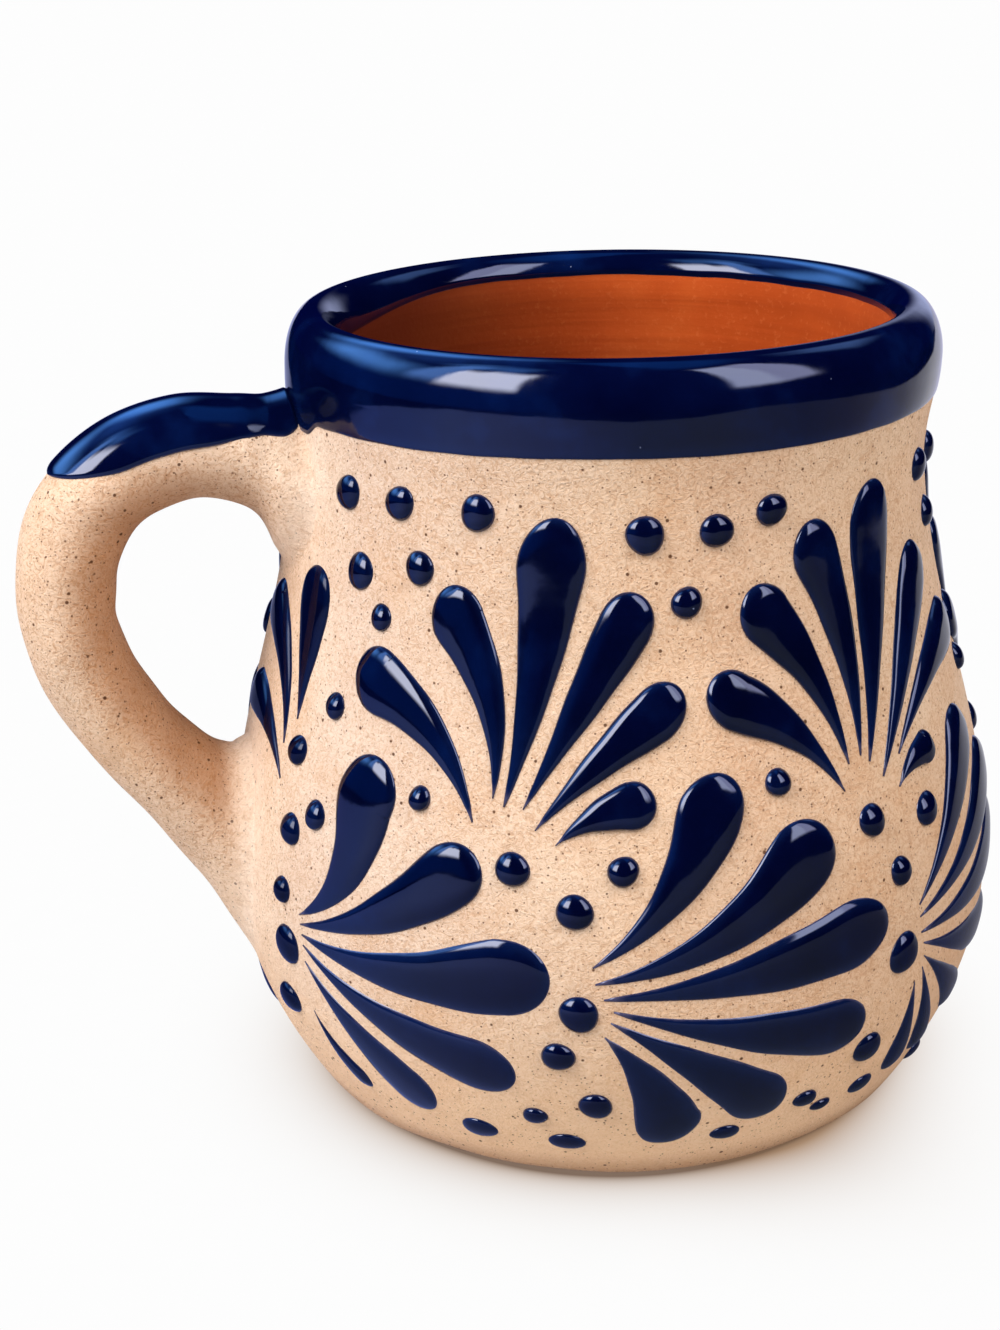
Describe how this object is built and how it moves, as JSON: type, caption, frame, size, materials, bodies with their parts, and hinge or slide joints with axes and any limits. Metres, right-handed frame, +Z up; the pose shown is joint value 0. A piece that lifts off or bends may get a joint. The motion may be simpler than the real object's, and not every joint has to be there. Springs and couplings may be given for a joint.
{
  "type": "jarrito clay mug",
  "caption": "Round-bellied clay mug with a pulled loop handle, a dipped cobalt rim and raised cobalt glaze plumes and dots on a sand-coloured slip.",
  "frame": {"origin": "centre of the flat underside of the base, on the surface that the mug stands on", "axes": "+Z up along the turning axis of the body, the handle points towards -X"},
  "size_m": [0.1241, 0.1002, 0.1],
  "materials": {
    "terracotta": "matte fired terracotta with faint throwing lines",
    "sand_slip": "matte sand-coloured slip with fine grain and dark specks",
    "handle_clay": "matte sand-coloured slip over clay, with dark specks",
    "rim_glaze": "glossy deep cobalt glaze",
    "handle_glaze": "glossy deep cobalt glaze",
    "trailed_glaze": "glossy, domed deep cobalt glaze"
  },
  "bodies": {
    "root": {"clay_body": "terracotta", "sand_slip": "sand_slip", "rim_glaze": "rim_glaze", "handle": "handle_clay", "handle_glaze": "handle_glaze", "upper_plume_1": "trailed_glaze", "upper_plume_2": "trailed_glaze", "upper_plume_3": "trailed_glaze", "upper_plume_4": "trailed_glaze", "upper_plume_5": "trailed_glaze", "upper_plume_6": "trailed_glaze", "upper_plume_7": "trailed_glaze", "lower_plume_1": "trailed_glaze", "lower_plume_2": "trailed_glaze", "lower_plume_3": "trailed_glaze", "lower_plume_4": "trailed_glaze", "lower_plume_5": "trailed_glaze", "lower_plume_6": "trailed_glaze", "lower_plume_7": "trailed_glaze", "neck_dots": "trailed_glaze", "waist_dots": "trailed_glaze", "root_dots": "trailed_glaze", "foot_dots": "trailed_glaze"}
  },
  "joints": []
}
